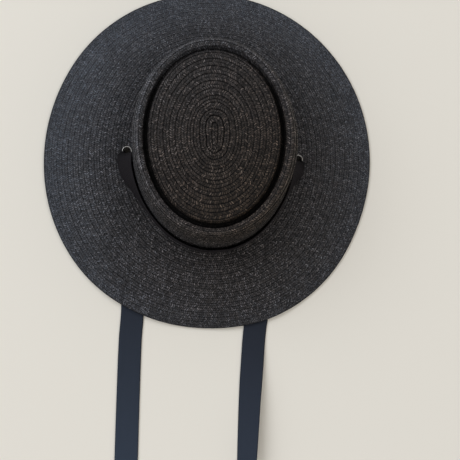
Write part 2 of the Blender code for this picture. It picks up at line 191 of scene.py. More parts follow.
@dataclass(frozen=True)
class HatSizes:
    """The sizes that the hat's pieces share. Where each side has its own, the left one comes first."""

    straw: float = 0.002
    gap: float = 0.0003
    head_width: float = 0.1640
    head_length: float = 0.2056
    crown_height: float = 0.0733
    crown_taper: float = 0.0036
    brim_rise: float = 0.0122
    ribbon_width: float = 0.0230
    ribbon_thickness: float = 0.0010
    ribbon_clearance: float = 0.0006
    eyelet_width: float = 0.0106
    eyelet_hole: float = 0.0078
    eyelet_metal: float = 0.0006
    eyelet_y: Pair = (0.0010, -0.0072)
    tie_end: float = -0.3180
    tie_drift: Pair = (0.0065, 0.0550)
    # Where each tie lies: how far along it is from its eyelet to its end, how far it has drifted sideways,
    # of its side's drift, and how far it is rolled over on its outer edge, in degrees
    ties: tuple[Rows, Rows] = (
        (
            # reach, drift, roll
            (0.00, 0.00, 0.0),
            (0.05, 0.02, 0.0),
            (0.14, 0.25, 0.0),
            (0.24, 0.55, 0.0),
            (0.36, 0.85, 0.0),
            (0.50, 1.00, 0.0),
            (0.60, 0.70, 0.0),
            (0.78, 0.46, 0.0),
            (1.00, 0.25, 0.0),
        ),
        (
            # reach, drift, roll
            (0.00, 0.00, 0.0),
            (0.05, 0.02, 0.0),
            (0.14, 0.14, 0.0),
            (0.24, 0.32, 0.0),
            (0.38, 0.58, 0.0),
            (0.56, 0.82, 0.0),
            (0.68, 0.88, 8.0),
            (0.79, 0.93, 22.0),
            (1.00, 1.00, 38.0),
        ),
    )

    @property
    def half_width(self) -> float:
        """Half the crown's width at its foot."""
        return self.head_width / 2

    @property
    def half_length(self) -> float:
        """Half the crown's length at its foot."""
        return self.head_length / 2

    @property
    def brim_top(self) -> float:
        """The height of the brim's upper face beside the crown."""
        return self.brim_rise + self.straw

    def eyelet_centre(self, side: Side) -> Vector:
        """The middle of an eyelet, at the brim's upper face."""
        x = self.half_width + self.gap + self.eyelet_width / 2
        return Vector((side.value * x, side.pick(self.eyelet_y), self.brim_top))

    def tie_x(self, side: Side, y: float) -> float:
        """Gives where the middle of a tie lies in X as it passes a given Y.

        Args:
            side: The tie's side.
            y: The place along Y.

        Returns:
            The X of the tie's middle.
        """
        centre = self.eyelet_centre(side)
        reach = (centre.y - y) / (centre.y - self.tie_end)
        drift = side.pick(self.tie_drift) * along_rows(side.pick(self.ties), 1, reach)
        return side.value * (abs(centre.x) - drift)


def math_node(operation: str, turned_round: bool = False) -> Callable[..., "Field"]:
    """Makes a method of Field that adds one Math node.

    Args:
        operation: The node's operation.
        turned_round: Whether the Field comes after the other number.

    Returns:
        The method, which takes the other number where the operation has one.
    """

    def method(self: "Field", *others: Union["Field", float]) -> "Field":
        """Gives the operation's result as a Field."""
        numbers = (*others, self) if turned_round else (self, *others)
        node = self.maker.add("ShaderNodeMath", {"operation": operation}, dict(enumerate(numbers)))
        return Field(self.maker, node.outputs[0])

    return method


class Field:
    """A number that varies over a surface: one socket of a node, with the sums that are done on it."""

    def __init__(self, maker: "NodeMaker", socket: bpy.types.NodeSocket) -> None:
        """Keeps the socket and the maker that adds nodes beside it."""
        self.maker = maker
        self.socket = socket

    __add__ = __radd__ = math_node("ADD")
    __sub__ = math_node("SUBTRACT")
    __rsub__ = math_node("SUBTRACT", turned_round=True)
    __mul__ = __rmul__ = math_node("MULTIPLY")
    __truediv__ = math_node("DIVIDE")
    __pow__ = math_node("POWER")
    __abs__ = math_node("ABSOLUTE")
    whole = math_node("FLOOR")
    part = math_node("FRACT")
    sine = math_node("SINE")
    least = math_node("MINIMUM")
    most = math_node("MAXIMUM")

    def ramp(self, low: float, high: float) -> "Field":
        """Goes smoothly from 0 to 1 as this number goes from low to high."""
        sockets = {"Value": self, "From Min": low, "From Max": high}
        node = self.maker.add("ShaderNodeMapRange", {"interpolation_type": "SMOOTHSTEP"}, sockets)
        return Field(self.maker, node.outputs["Result"])


class NodeMaker:
    """Adds the nodes of one material or of the world."""

    def __init__(self, owner: Union[bpy.types.Material, bpy.types.World], shader: str) -> None:
        """Keeps the node tree and its shader.

        Args:
            owner: What has the nodes.
            shader: The name of its shader's node.
        """
        owner.use_nodes = True
        self.owner = owner
        self.tree = owner.node_tree
        self.shader = self.tree.nodes[shader]

    @classmethod
    def of_material(cls, name: str) -> "NodeMaker":
        """Makes a material with only its output and its shader."""
        return cls(bpy.data.materials.new(name), "Principled BSDF")

    def add(self, kind: str, settings: dict, sockets: dict) -> bpy.types.Node:
        """Adds a node.

        Args:
            kind: The node's type.
            settings: Its own settings, which are made first.
            sockets: A value, a Field or a socket for each input, by the input's name or number.

        Returns:
            The node.
        """
        node = self.tree.nodes.new(kind)
        for name, value in settings.items():
            setattr(node, name, value)
        for name, value in sockets.items():
            self.feed(node.inputs[name], value)
        return node

    def feed(self, socket: bpy.types.NodeSocket, value: Any) -> None:
        """Gives an input a value, a Field or another node's output."""
        if isinstance(value, (Field, bpy.types.NodeSocket)):
            self.tree.links.new(value.socket if isinstance(value, Field) else value, socket)
        else:
            socket.default_value = value

    def coordinates(self, layer: str) -> tuple[Field, Field]:
        """Gives the two numbers that a surface carries in one of its layers."""
        place = self.add("ShaderNodeUVMap", {"uv_map": layer}, {})
        apart = self.add("ShaderNodeSeparateXYZ", {}, {0: place.outputs[0]})
        return Field(self, apart.outputs["X"]), Field(self, apart.outputs["Y"])

    def chance(self, first: Field, second: Union[Field, float]) -> Field:
        """A number from 0 to 1 for each pair of whole numbers."""
        pair = self.add("ShaderNodeCombineXYZ", {}, {"X": first, "Y": second})
        noise = self.add("ShaderNodeTexWhiteNoise", {"noise_dimensions": "2D"}, {"Vector": pair.outputs[0]})
        return Field(self, noise.outputs["Value"])

    def cloud(self, scale: float, detail: float) -> Field:
        """Soft noise about 0.5 in the object's own space, so many lumps to a metre, with finer layers."""
        place = self.add("ShaderNodeTexCoord", {}, {}).outputs["Object"]
        noise = self.add("ShaderNodeTexNoise", {}, {"Vector": place, "Scale": scale, "Detail": detail})
        return Field(self, noise.outputs[0])

    def blend(self, share: Union[Field, float], low: Any, high: Any, **more: str) -> bpy.types.NodeSocket:
        """Mixes two colours.

        Args:
            share: 0 for the first colour and 1 for the second.
            low: The first colour, or a socket.
            high: The second colour, or a socket.
            more: More settings of the Mix node.

        Returns:
            The mixed colour's socket.
        """
        first, second = ((*c, 1.0) if isinstance(c, tuple) else c for c in (low, high))
        settings = {"data_type": "RGBA", **more}
        return self.add("ShaderNodeMix", settings, {0: share, 6: first, 7: second}).outputs[2]

    def tint(self, colour: Any, other: Any) -> bpy.types.NodeSocket:
        """Multiplies a colour by another one."""
        return self.blend(1.0, colour, other, blend_type="MULTIPLY")

    def shade(self, colour: Any, share: Field) -> bpy.types.NodeSocket:
        """Multiplies a colour by a number that varies over the surface."""
        grey = self.add("ShaderNodeCombineColor", {}, {0: share, 1: share, 2: share})
        return self.tint(colour, grey.outputs[0])

    def bump(self, height: Field, distance: float, strength: float) -> None:
        """Raises the surface's shading by a height field.

        Args:
            height: The height, from 0 to 1.
            distance: How many metres a height of 1 is.
            strength: How much of it shows.
        """
        node = self.add("ShaderNodeBump", {}, {"Height": height, "Distance": distance, "Strength": strength})
        self.feed(self.shader.inputs["Normal"], node.outputs[0])

    def finish(self, colour: Any, rough: Union[Field, float], **constants: float) -> bpy.types.Material:
        """Feeds the shader and gives its material.

        Args:
            colour: The base colour.
            rough: The roughness.
            constants: The shader's other numbers, named with _ for each space.

        Returns:
            The material.
        """
        self.feed(self.shader.inputs["Base Color"], colour)
        self.feed(self.shader.inputs["Roughness"], rough)
        for name, value in constants.items():
            self.shader.inputs[name.replace("_", " ")].default_value = value
        return self.owner


@dataclass(frozen=True)
class StrawBraid:
    """Black dyed straw, plaited in a braid of two slanted columns and sewn row on row.

    The braid layer's first number counts plaits along a row, and its second counts columns across the rows.
    The wear layer's first number is how much painted shade the straw gets, under 0 where it gets painted
    light instead, and its second is how far it has faded in the sun, which also stands for painted light
    that makes it lighter and bluer.
    """

    layer: str = "braid"
    wear_layer: str = "wear"
    # Painted shade in the gaps between rows, plaits and strands
    deep: Colour = (0.0010, 0.0010, 0.0011)
    body: Colour = (0.0046, 0.0044, 0.0043)
    # Lighter straw colour: partly random tone, partly painted glints
    worn_and_glint: Colour = (0.1500, 0.1450, 0.1410)
    warm: Colour = (1.05, 0.99, 0.95)
    cool: Colour = (0.96, 1.00, 1.04)
    kept_and_shaded: Colour = (1.15, 0.83, 0.55)
    faded_and_lit: Colour = (2.80, 3.21, 3.88)
    grain_scale: float = 2400
    fleck_scale: float = 800
    fleck_span: Pair = (0.34, 0.66)
    flow_scale: float = 420
    flow_size: float = 0.5
    patch_scale: float = 34
    slant: float = 0.80
    row_gap: float = 0.32
    pair_seam: float = 1.7
    middle_seam: float = 0.05
    plait_gap: float = 0.20
    straw_gap: float = 0.6
    under: float = 0.70
    faded_and_lit_glow: float = 0.100
    even_glow: float = 0.66
    shade_strength: float = 0.9
    relief: float = 0.00060

    def material(self) -> bpy.types.Material:
        """Makes the straw's material."""
        maker = NodeMaker.of_material("black_straw_braid")
        along, across = maker.coordinates(self.layer)
        painted_shade, fade_and_light = maker.coordinates(self.wear_layer)
        grain = maker.cloud(self.grain_scale, 2)
        fleck = maker.cloud(self.fleck_scale, 3).ramp(*self.fleck_span)
        flow = (maker.cloud(self.flow_scale, 2) - 0.5) * self.flow_size
        patch = maker.cloud(self.patch_scale, 3)
        column = across.whole()
        share = across.part()
        lean = (column * 0.5).part() * 4 - 1
        place = along + lean * self.slant * (share - 0.5) + maker.chance(column, column + 0.5) * 7 + flow
        plait = place.whole()
        width = place.part()
        straw = (place * 2).whole()
        straw_round = 1 - abs((place * 2).part() * 2 - 1) ** 2
        chance = maker.chance(straw, column)
        second = maker.chance(plait + 71, column + 13)
        third = maker.chance(straw + 19, column + 37)
        hidden = (width * 2).whole()
        pair = (across * 0.5).part()
        to_seam = (pair.least(1 - pair) * self.pair_seam).least(abs(pair - 0.5) * 2 + self.middle_seam)
        row_edge = (to_seam + flow + 0.02 + fade_and_light * 0.09).ramp(0.0, self.row_gap)
        plait_edge = width.least(1 - width).ramp(0.0, self.plait_gap)
        straw_edge = straw_round.ramp(0.0, self.straw_gap) * 0.65 + 0.35
        solid = row_edge * plait_edge * straw_edge
        # Random tone and painted glints on strand backs, with painted shade on each plait's under half
        glow = (chance ** 1.5) * (second * 0.7 + 0.3) * (1 - hidden * self.under) * straw_round
        glow = (glow + grain * 0.04) * (1 - fade_and_light * self.even_glow) + fade_and_light * self.faded_and_lit_glow
        colour = maker.blend(glow, self.body, self.worn_and_glint)
        colour = maker.tint(colour, maker.blend(third, self.warm, self.cool))
        # Painted shade: the gaps between rows, plaits and strands, and each strand's edges, go towards the
        # deep colour
        colour = maker.blend(solid, self.deep, colour)
        # Sun-fading and painted light: paler and bluer where faded, warmer and darker as painted shade where
        # not
        colour = maker.tint(colour, maker.blend(fade_and_light, self.kept_and_shaded, self.faded_and_lit))
        # Flecks of uneven dye and painted glints on broken straw, with less contrast where faded
        fleck = fleck * (1.4 - fade_and_light * 0.7) + 0.30 + fade_and_light * 0.35
        # Random tone in patches and flecks, and painted shade from the first wear number, painted light under
        # 0
        colour = maker.shade(colour, (patch * 0.6 + 0.7) * fleck * (1 - painted_shade * self.shade_strength))
        rough = 0.30 + third * 0.25 + (1 - solid) * 0.35 + grain * 0.06 + painted_shade * 0.4
        tilt = ((second - 0.5) * (width - 0.5) + (third - 0.5) * (share - 0.5)) * solid * 2.4
        height = straw_round * row_edge * 0.2 + plait_edge * 0.25 + tilt + grain * 0.10
        maker.bump(height, self.relief, 1.0)
        return maker.finish(colour, rough.most(0.22).least(1.0), IOR=1.45, Specular_IOR_Level=0.20)


@dataclass(frozen=True)
class RibbonCloth:
    """Very dark navy ribbon, woven with fine ribs across it and a firm edge.

    The weave layer's first number is millimetres from one edge, and its second is millimetres along the
    ribbon. The wear layer's first number is how tightly it is gathered, which also sets painted shade
    in the gathered folds, and its second how far it has faded, which also stands for painted light.
    """

    width: float
    layer: str = "weave"
    wear_layer: str = "wear"
    thread: Colour = (0.0070, 0.0058, 0.0070)
    lit: Colour = (0.0104, 0.0086, 0.0104)
    # Faded colours, which also stand for painted light: lighter and bluer towards the ties' ends
    faded_and_lit_thread: Colour = (0.0260, 0.0370, 0.0560)
    faded_lit: Colour = (0.0350, 0.0480, 0.0720)
    slub_scale: float = 160
    rib: float = 0.55
    warp: float = 0.32
    edge: float = 0.9
    gather_shade: float = 0.9
    relief: float = 0.00012

    def material(self) -> bpy.types.Material:
        """Makes the ribbon's material."""
        maker = NodeMaker.of_material("navy_woven_ribbon")
        across, along = maker.coordinates(self.layer)
        gather, fade_and_light = maker.coordinates(self.wear_layer)
        rib = (along * (math.tau / self.rib)).sine() * 0.5 + 0.5
        warp = (across * (math.tau / self.warp)).sine() * 0.5 + 0.5
        chance = maker.chance((along / self.rib).whole(), 0.0)
        streak = maker.chance((across / self.warp).whole(), 3.0)
        half = self.width / MM / 2
        selvedge = abs(across - half).ramp(half - self.edge, half - self.edge * 0.6)
        slub = maker.cloud(self.slub_scale, 3)
        share = rib * 0.35 + chance * 0.20 + streak * 0.20 + slub * 0.35 - 0.05
        colour = maker.blend(share, self.thread, self.lit)
        colour = maker.blend(fade_and_light, colour, maker.blend(share, self.faded_and_lit_thread, self.faded_lit))
        # Darker selvedges, and painted shade where the ribbon is gathered tight in the eyelet
        colour = maker.shade(colour, (1 - selvedge * 0.30) * (1 - gather * self.gather_shade))
        height = rib * (1 - selvedge) * 0.7 + warp * 0.3 + selvedge * 0.6 + slub * 0.3
        maker.bump(height, self.relief, 1.0)
        return maker.finish(colour, 0.70 + chance * 0.12 + selvedge * 0.06, Specular_IOR_Level=0.15)


@dataclass(frozen=True)
class DarkNickel:
    """Dark nickel plate, brushed by wear: paler and a little rougher in patches, with fine scratches."""

    plate: Colour = (0.31, 0.30, 0.28)
    rubbed: Colour = (0.52, 0.50, 0.46)
    wear_scale: float = 900
    wear_span: Pair = (0.35, 0.70)
    scratch_scale: float = 5200
    relief: float = 0.00003

    def material(self) -> bpy.types.Material:
        """Makes the eyelets' material."""
        maker = NodeMaker.of_material("dark_nickel_plate")
        wear = maker.cloud(self.wear_scale, 3)
        scratch = maker.cloud(self.scratch_scale, 1)
        maker.bump(wear * 0.5 + scratch * 0.5, self.relief, 0.6)
        colour = maker.blend(wear.ramp(*self.wear_span), self.plate, self.rubbed)
        return maker.finish(colour, 0.24 + wear * 0.16 + scratch * 0.08, Metallic=1.0)


@dataclass
class Ring:
    """One closed ring of points on the braid, where it lies in the braid's rows, and its painted shade and
    fading.
    """

    points: np.ndarray
    place: float
    face: Face
    painted_shade: Union[float, np.ndarray] = 0.0
    fade_and_light: Union[float, np.ndarray] = 0.0

    def steps(self) -> np.ndarray:
        """How far it is from each point to the next."""
        return np.linalg.norm(np.roll(self.points, -1, axis=0) - self.points, axis=1)

    def wear(self) -> np.ndarray:
        """How much painted shade and how much fading, which also stands for painted light, each point has."""
        return np.stack([np.broadcast_to(v, len(self.points)) for v in (self.painted_shade, self.fade_and_light)], axis=1)


@dataclass
class Band:
    """The faces between two rings: the column of the braid that they show."""

    column: int
    start: float
    end: float
    strands: int


@dataclass
class BraidShell:
    """A closed shell of sewn braid, built from rings that follow the rows."""

    name: str
    segments: int
    strand: float
    inset: float = 0.002
    fewest_strands: int = 6
    weld: float = 2e-6
    sliver: float = 1e-7
    rings: list[Ring] = field(default_factory=list)
    bands: list[Optional[Band]] = field(default_factory=list)

    def add_ring(self, ring: Ring) -> None:
        """Adds the next ring, with the band that leads to it.

        Args:
            ring: The ring. The band gets a whole number of strands round it.
        """
        if self.rings:
            first = self.rings[-1]
            column = math.floor((first.place + ring.place) / 2)
            start, end = (min(max(place - column, 0.0), 1.0) for place in (first.place, ring.place))
            strands = max(self.fewest_strands, round(float(first.steps().sum()) / self.strand))
            self.bands.append(Band(column, start, end, strands))
        self.rings.append(ring)

    def even_strands(self) -> None:
        """Gives all bands of one column on one face the same number of strands."""
        counts: dict[tuple[int, Face], int] = {}
        for ring, band in zip(self.rings, self.bands):
            if band:
                band.strands = counts.setdefault((band.column, ring.face), band.strands)

    def build(self, straw: bpy.types.Material, finish: StrawBraid) -> bpy.types.Object:
        """Makes the shell's mesh.

        Args:
            straw: Its material.
            finish: The straw's finish, which names the mesh's layers.

        Returns:
            The shell's object.
        """
        self.even_strands()
        n = self.segments
        here = np.arange(n)
        after = (here + 1) % n
        shares = []
        for ring in self.rings:
            steps = ring.steps()
            shares.append(np.concatenate([[0.0], np.cumsum(steps)]) / max(float(steps.sum()), 1e-9))
        faces, layers, shades_and_fades = [], [], []
        for i, band in enumerate(self.bands):
            if band is None:
                continue
            j = (i + 1) % len(self.rings)
            faces.append(np.stack([i * n + here, i * n + after, j * n + after, j * n + here], axis=1))
            along = np.stack([shares[i][:-1], shares[i][1:], shares[j][1:], shares[j][:-1]], axis=1)
            across = np.array([band.start, band.start, band.end, band.end])
            across = np.broadcast_to(band.column + self.inset + (1 - 2 * self.inset) * across, along.shape)
            layers.append(np.stack([along * band.strands, across], axis=2))
            low, high = self.rings[i].wear(), self.rings[j].wear()
            shades_and_fades.append(np.stack([low[here], low[after], high[after], high[here]], axis=1))
        mesh = bpy.data.meshes.new(self.name)
        mesh.from_pydata(np.concatenate([ring.points for ring in self.rings]), [], np.concatenate(faces))
        for name, values in ((finish.layer, layers), (finish.wear_layer, shades_and_fades)):
            uv = mesh.uv_layers.new(name=name)
            uv.data.foreach_set("uv", np.concatenate(values).astype(np.float32).ravel())
        build = bmesh.new()
        build.from_mesh(mesh)
        bmesh.ops.remove_doubles(build, verts=build.verts, dist=self.weld)
        bmesh.ops.dissolve_degenerate(build, edges=build.edges, dist=self.sliver)
        bmesh.ops.recalc_face_normals(build, faces=build.faces)
        build.to_mesh(mesh)
        build.free()
        mesh.shade_smooth()
        mesh.materials.append(straw)
        return in_scene(self.name, mesh)


@dataclass(frozen=True)
class RowRelief:
    """How a row of sewn braid stands up: its lean over each column and each pair, and its round back."""

    lean: float
    pair_lean: float
    back: float
    seam: float
    weak_seam: float = 0.45

    def height(self, place: float, outward: int) -> float:
        """Gives the height of the braid over the straw's mean face.

        Args:
            place: The place across the rows, in columns.
            outward: 1 where places count up away from the crown's middle, and -1 where they count down.

        Returns:
            The height in metres.
        """
        share = place - math.floor(place)
        pair = place / 2 - math.floor(place / 2)
        if share < 1e-6:
            return -self.seam * (1.0 if pair < 0.25 else self.weak_seam)
        if outward < 0:
            share, pair = 1 - share, 1 - pair
        tall = self.lean * (1 - share) + self.pair_lean * (1 - pair) + self.back * (1 - (2 * share - 1) ** 2)
        return tall - (self.lean + self.pair_lean) / 2 - self.back * 0.6


def surface_normals(grid: np.ndarray) -> np.ndarray:
    """Gives the outward normals of a grid of points.

    Args:
        grid: Points by ring and by place round the ring, rings counted from an oval's outside in or up.

    Returns:
        A unit vector for each point.
    """
    round_it = np.roll(grid, -1, axis=1) - np.roll(grid, 1, axis=1)
    normals = np.cross(round_it, np.gradient(grid, axis=0))
    length = np.linalg.norm(normals, axis=2, keepdims=True)
    normals = normals / np.maximum(length, 1e-12)
    normals[length[..., 0] < 1e-12] = (0.0, 0.0, 1.0)
    return normals


def sway(turns: np.ndarray, place: float, size: float) -> np.ndarray:
    """Gives how far a hand-laid row strays, as a smooth wave round the hat.

    Args:
        turns: Directions as shares of a full turn.
        place: The row's place, which shifts the wave a little from row to row.
        size: The most that it strays.

    Returns:
        How far it strays in each direction.
    """
    angle = turns * math.tau
    waves = ((1.0, 3, 0.31), (0.7, 7, -0.53), (0.5, 13, 0.9))
    return size * sum(high * np.sin(times * angle + shift * place) for high, times, shift in waves) / 2.2


@dataclass
class Crown:
    """The crown: a hollow oval of sewn braid with its wall, rounded ridge, crease and raised tip.

    Painted light and shade go into the straw's painted shade, and sun-fading with painted light into
    its fading. Reaches along the crown are shares of half its length, from -1 at its near end to 1 at
    its far end.
    """

    sizes: HatSizes
    ridge_width: float = 0.0090
    ridge_round: float = 0.0036
    shoulder_width: float = 0.0050
    shoulder_height: float = 0.0110
    crease_width: float = 0.0054
    crease_depth: float = 0.0090
    tip_drop: float = 0.0010
    tip_round: float = 0.0032
    tip_dome: float = 0.0025
    button_width: float = 0.0060
    column: float = 0.0029
    strand: float = 0.0024
    segments: int = 216
    arc_steps: int = 14
    wall_steps: int = 40
    tip_steps: int = 120
    start_columns: float = 9.0
    wound_width: float = 0.034
    wound_bend: float = 2.6
    row_sway: float = 0.10
    start_sway: float = 0.25
    deep_seam: float = 0.0007
    # Painted shade in the crease and seams, less at the far end, and painted light on the ridge
    crease_shade: Pair = (1.3, -0.15)
    ridge_light: float = 0.44
    ridge_around: Pair = (0.80, 0.88)
    ridge_height: Pair = (0.020, 0.065)
    ridge_seams: float = 1.4
    far_light: float = 0.75
    far_reach: Pair = (0.35, 0.80)
    seam_shade: Pair = (0.46, 0.22)
    seam_reach: Pair = (-0.5, 0.4)
    seam_strength: Pair = (1.15, 0.55)
    # How faded the straw is, which also stands for painted light that makes it lighter and bluer, and how
    # much more on the left and at the far end, all over and on the ridge
    sun_and_light: tuple[float, ...] = (-0.13, 0.18, 0.40)
    wall_sun_and_light: float = 0.32
    ridge_sun_and_light: Pair = (0.27, 0.15)
    # Rows that stand a little apart from the next one, with painted shade in the gap: how many columns from
    # the foot, or from the tip's middle where it is under 0, and how far apart, from 0 to 1
    deep_seams: Rows = ((26.58, 0.8), (-8, 0.45), (-5, 0.35), (-3, 0.7))
    outside_phases: tuple[float, ...] = (0.0, 0.10, 0.32, 0.58, 0.84)
    inside_phases: tuple[float, ...] = (0.0, 0.5)
    inside_relief: Pair = (0.00016, -0.00012)
    relief: RowRelief = RowRelief(lean=0.00018, pair_lean=0.00036, back=0.00022, seam=0.00040)
    ridge_outline: tuple[float, ...] = (
        1.032, 1.009, 0.999, 0.992, 0.987, 0.993, 1.008, 1.014,
        1.011, 0.997, 1.000, 1.000, 0.994, 0.999, 1.010, 1.034,
    )
    crease_outline: tuple[float, ...] = (
        0.996, 0.993, 0.991, 0.998, 1.006, 1.003, 0.997, 1.000, 1.007, 1.006, 0.998, 0.996,
    )
    # How much longer than wide each oval of the tip is
    tip_ovals: Rows = (
        # half its width, and half of what its length has over it
        (0.0000, 0.0075),
        (0.0045, 0.0090),
        (0.0095, 0.0100),
        (0.0200, 0.0108),
        (0.0300, 0.0128),
        (0.0400, 0.0156),
        (0.0608, 0.0208),
    )

    def arc(self, centre: Pair, radius: float, first: float, last: float) -> list[tuple]:
        """Gives the points of an arc in the crown's section.

        Args:
            centre: The arc's middle, as inset and height.
            radius: Its radius.
            first: Its first angle in degrees.
            last: Its last angle.

        Returns:
            Rows of inset, height, no share of the ridge's outline and all of the crease's.
        """
        rows = []
        for i in range(self.arc_steps + 1):
            angle = math.radians(first + (last - first) * i / self.arc_steps)
            inset, height = centre[0] - radius * math.cos(angle), centre[1] + radius * math.sin(angle)
            rows.append((inset, height, 0.0, 1.0))
        return rows

    def section(self) -> np.ndarray:
        """Gives the crown's outside from its foot to the tip's middle.

        Returns:
            Rows of half width, half length, height over the brim's top, how far the ring there follows the
            ridge's outline and the crease's, and how much painted shade it gets, more the deeper down
            in the crease.
        """
        s = self.sizes
        shoulder = s.crown_height - self.ridge_round
        wall = s.crown_height - self.shoulder_height
        ridge_end = s.crown_taper + self.ridge_width
        half = self.crease_width / 2
        tip_start = ridge_end + self.crease_width
        tip_height = s.crown_height - self.tip_drop
        floor = s.crown_height - self.crease_depth + half
        rows = []
        for i in range(self.wall_steps + 1):
            share = i / self.wall_steps
            height = max(s.gap, wall * share)
            rows.append((s.crown_taper * share, height, (height / shoulder) ** 2, 0.0))
        for i in range(1, self.arc_steps + 1):
            angle = math.radians(90 * i / self.arc_steps)
            over = 1 - math.cos(angle)
            height = wall + self.shoulder_height * math.sin(angle)
            ridge = min(1.0, height / shoulder) ** 2 * (1 - over)
            rows.append((s.crown_taper + self.shoulder_width * over, height, ridge, over))
        rows += self.arc((ridge_end - self.ridge_round, shoulder), self.ridge_round, 90, 180)
        rows += self.arc((ridge_end + half, floor), half, 0, -180)
        rows += self.arc((tip_start + self.tip_round, tip_height - self.tip_round), self.tip_round, 0, 90)
        # Painted shade in the crease, darker the deeper down it is
        gain, start = self.crease_shade
        made = []
        for inset, height, ridge, crease in rows:
            deep = (shoulder - height) / (self.crease_depth - self.ridge_round) if crease == 1.0 else 0.0
            painted_shade = min(1.0, max(0.0, deep * gain + start))
            made.append((s.half_width - inset, s.half_length - inset, height, ridge, crease, painted_shade))
        inset, edge_height = rows[-1][:2]
        tip_half = s.half_width - inset
        button = self.button_width / 2
        for i in range(1, self.tip_steps + 1):
            width = tip_half * (1 - i / self.tip_steps)
            share = max(0.0, (width - button) / (tip_half - button))
            length = width + along_rows(self.tip_ovals, 1, width)
            made.append((width, length, edge_height + self.tip_dome * (1 - share**2), 0.0, share, 0.0))
        return np.array(made)

    def grid(self, phases: Sequence[float], columns: int, section: np.ndarray, run: np.ndarray) -> tuple:
        """Places rings on the crown's smooth outside.

        Args:
            phases: Where the rings lie in each column of the braid.
            columns: How many columns there are from the foot to the tip's middle.
            section: The crown's section.
            run: How far along the section each of its rows is.

        Returns:
            The rings' places in columns, a grid of their points, and how much painted shade each of those
            gets.
        """
        turns = np.arange(self.segments) / self.segments
        cosine, sine = np.cos(turns * math.tau), np.sin(turns * math.tau)
        straight = np.tanh(self.wound_bend * sine) / math.tanh(self.wound_bend)
        places = [float(k + phase) for k in range(columns) for phase in phases] + [float(columns)]
        grid = np.zeros((len(places), self.segments, 3))
        painted_shades = np.zeros(grid.shape[:2])
        for i, place in enumerate(places):
            calm = max(0.0, min(1.0, place / 2, (columns - place) / 3))
            size = self.row_sway + self.start_sway * self.near_start(place, columns)
            stray = place + sway(turns, place, size) * calm
            reach = np.clip(stray / columns, 0.0, 1.0) * run[-1]
            width, length, height, ridge, crease, painted_shade = (np.interp(reach, run, c) for c in section.T)
            grow = 1 + ridge * (reach_at(self.ridge_outline, turns) - 1)
            grow = grow + crease * (reach_at(self.crease_outline, turns) - 1)
            wound = np.clip((self.wound_width - width) / self.wound_width, 0.0, 1.0)
            along = width * sine + (length - width) * (sine * (1 - wound) + straight * wound)
            points = (width * cosine * grow, along * grow, self.sizes.brim_top + height)
            grid[i] = np.stack(points, axis=1)
            painted_shades[i] = painted_shade
        return places, grid, painted_shades

    def near_start(self, place: float, columns: int) -> float:
        """How near a place is to the braid's start in the tip's middle, from 0 to 1."""
        return max(0.0, 1 - (columns - place) / self.start_columns)

    def build(self, straw: bpy.types.Material, finish: StrawBraid) -> bpy.types.Object:
        """Makes the crown.

        Args:
            straw: Its material.
            finish: The straw's finish, which names the mesh's layers.

        Returns:
            The crown's object.
        """
        section = self.section()
        steps = np.diff(section[:, [0, 2]], axis=0)
        run = np.concatenate([[0.0], np.cumsum(np.hypot(steps[:, 0], steps[:, 1]))])
        columns = round(run[-1] / self.column)
        shell = BraidShell("straw_crown", self.segments, self.strand)
        places, grid, painted_shades = self.grid(self.outside_phases, columns, section, run)
        for place, points, normal, painted_shade in zip(places, grid, surface_normals(grid), painted_shades):
            apart = self.apart(place, columns)
            painted_shade = self.shading(place, points, painted_shade, apart)
            if 0.5 <= place < columns:
                lift = self.relief.height(place, -1) * (1 + self.near_start(place, columns))
                points = points + normal * (lift - self.deep_seam * apart)
            shell.add_ring(Ring(points, place, Face.OUTSIDE, painted_shade, self.fade_and_light(points)))
        places, grid, _ = self.grid(self.inside_phases, columns, section, run)
        inner = []
        for place, points, normal in zip(places, grid, surface_normals(grid)):
            rib = self.inside_relief[0 if place % 1 > 0.25 else 1]
            points = points - normal * (self.sizes.straw + (rib if place >= 0.5 else 0.0))
            if place < 0.5:
                points[:, 2] = self.sizes.brim_top + self.sizes.gap
            inner.append(Ring(points, place, Face.INSIDE))
        for ring in (shell.rings[-1], inner[-1]):
            ring.points[:, 0] = 0.0
        shell.bands.append(None)
        shell.rings.append(inner.pop())
        for ring in reversed(inner):
            shell.add_ring(ring)
        shell.bands.append(Band(0, 0.0, 0.3, shell.bands[0].strands))
        return shell.build(straw, finish)

    def apart(self, place: float, columns: int) -> float:
        """Gives how far the rows at a place stand apart, from 0 to 1, which is also their painted shade.

        Args:
            place: The place across the rows, in columns from the foot.
            columns: How many columns there are.

        Returns:
            The most that any deep seam gives there.
        """
        seams = [(column if column > 0 else columns + column, share) for column, share in self.deep_seams]
        return max([share for column, share in seams if -0.01 < place - column < 0.12], default=0.0)

    def shading(self, place: float, points: np.ndarray, painted_shade: np.ndarray, apart: float) -> np.ndarray:
        """Gives a ring's painted shade in the crease, seams and gaps, and its painted light.

        Args:
            place: The ring's place across the rows, in columns from the foot.
            points: Its points.
            painted_shade: The painted shade that the crease gives them, more the deeper down they are.
            apart: How far its rows stand apart.

        Returns:
            The painted shade at each point, with the seams, and under 0 as painted light on the ridge.
        """
        ridge, _ = self.ridge_and_wall(points)
        along = points[:, 1] / self.sizes.half_length
        painted_shade = np.clip(painted_shade - self.far_light * smooth_step(along, *self.far_reach), 0.0, 1.0)
        painted_shade = np.maximum(painted_shade, apart) - self.ridge_light * ridge * (painted_shade < 0.01)
        if abs(place - round(place)) >= 0.01:
            return painted_shade
        near, far = self.seam_strength
        strength = near + (far - near) * smooth_step(along, *self.seam_reach)
        seam = self.seam_shade[round(place) % 2] * (1 + self.ridge_seams * ridge) * strength
        return np.maximum(painted_shade, seam)

